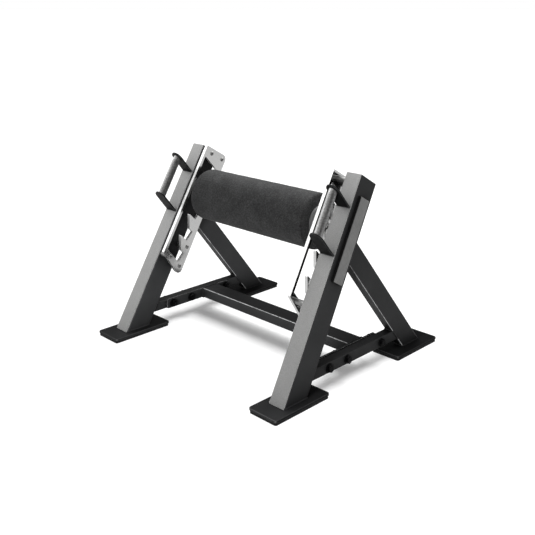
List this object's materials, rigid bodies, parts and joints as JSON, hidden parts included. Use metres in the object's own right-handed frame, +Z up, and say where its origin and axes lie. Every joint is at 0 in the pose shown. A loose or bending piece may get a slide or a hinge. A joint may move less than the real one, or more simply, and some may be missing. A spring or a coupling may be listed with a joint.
{
  "type": "roman chair",
  "caption": "Low floor station with a foam roller on an axle that rests in notched steel plates between two leaning uprights, with knurled hand grips.",
  "frame": {"origin": "on the floor, under the middle of the four feet", "axes": "+X across the station, along the roller; +Y from the handles to the rear feet; +Z up"},
  "size_m": [0.747, 0.682, 0.544],
  "materials": {
    "powder_coat": "satin black powder coat, fine texture",
    "brushed_strip": "light steel strip, fine brushed grain, satin",
    "stainless": "polished stainless plate with laser-cut edges",
    "bright_steel": "bright turned steel",
    "knurled_steel": "plated steel with a diamond knurl",
    "black_zinc": "black zinc fasteners",
    "foot_rubber": "matte black rubber",
    "black_plastic": "matte black moulded plastic",
    "foam": "dense closed-cell foam, mottled dark grey skin",
    "core_tube": "grey moulded core tube",
    "hub": "light grey moulded hub"
  },
  "bodies": {
    "frame": {"upright_left": "powder_coat", "front_strip_left": "brushed_strip", "strut_left": "powder_coat", "side_rail_left": "powder_coat", "crossbar_plate_left": "powder_coat", "notch_plate_left": "stainless", "plate_stud_top_front_left": "bright_steel", "plate_stud_top_rear_left": "bright_steel", "plate_stud_mid_rear_left": "bright_steel", "plate_stud_low_rear_left": "bright_steel", "handle_ear_lower_left": "powder_coat", "handle_ear_upper_left": "powder_coat", "handle_grip_left": "knurled_steel", "side_cover_left": "black_plastic", "side_trim_left": "brushed_strip", "foot_plate_front_left": "powder_coat", "foot_pad_front_left": "foot_rubber", "foot_plate_rear_left": "powder_coat", "foot_pad_rear_left": "foot_rubber", "bolt_front_left": "black_zinc", "nut_front_left": "black_zinc", "bolt_middle_left": "black_zinc", "nut_middle_left": "black_zinc", "bolt_rear_left": "black_zinc", "nut_rear_left": "black_zinc", "upright_right": "powder_coat", "front_strip_right": "brushed_strip", "strut_right": "powder_coat", "side_rail_right": "powder_coat", "crossbar_plate_right": "powder_coat", "notch_plate_right": "stainless", "plate_stud_top_front_right": "bright_steel", "plate_stud_top_rear_right": "bright_steel", "plate_stud_mid_rear_right": "bright_steel", "plate_stud_low_rear_right": "bright_steel", "handle_ear_lower_right": "powder_coat", "handle_ear_upper_right": "powder_coat", "handle_grip_right": "knurled_steel", "side_cover_right": "black_plastic", "side_trim_right": "brushed_strip", "foot_plate_front_right": "powder_coat", "foot_pad_front_right": "foot_rubber", "foot_plate_rear_right": "powder_coat", "foot_pad_rear_right": "foot_rubber", "bolt_front_right": "black_zinc", "nut_front_right": "black_zinc", "bolt_middle_right": "black_zinc", "nut_middle_right": "black_zinc", "bolt_rear_right": "black_zinc", "nut_rear_right": "black_zinc", "crossbar": "powder_coat"},
    "axle": {"axle_shaft": "bright_steel", "axle_collar_left": "black_zinc", "axle_collar_right": "black_zinc"},
    "roller": {"foam_sleeve": "foam", "core_tube": "core_tube", "roller_hub_left": "hub", "roller_bearing_left": "bright_steel", "roller_hub_right": "hub", "roller_bearing_right": "bright_steel"}
  },
  "joints": [
    {"name": "axle_lift", "type": "slide", "parent": "frame", "child": "axle", "axis": [0, -0.7071, 0.7071], "range_m": [0, 0.034]},
    {"name": "roller_spin", "type": "hinge", "parent": "axle", "child": "roller", "pos_m": [0, -0.02267, 0.39643], "axis": [1, 0, 0], "continuous": true}
  ]
}
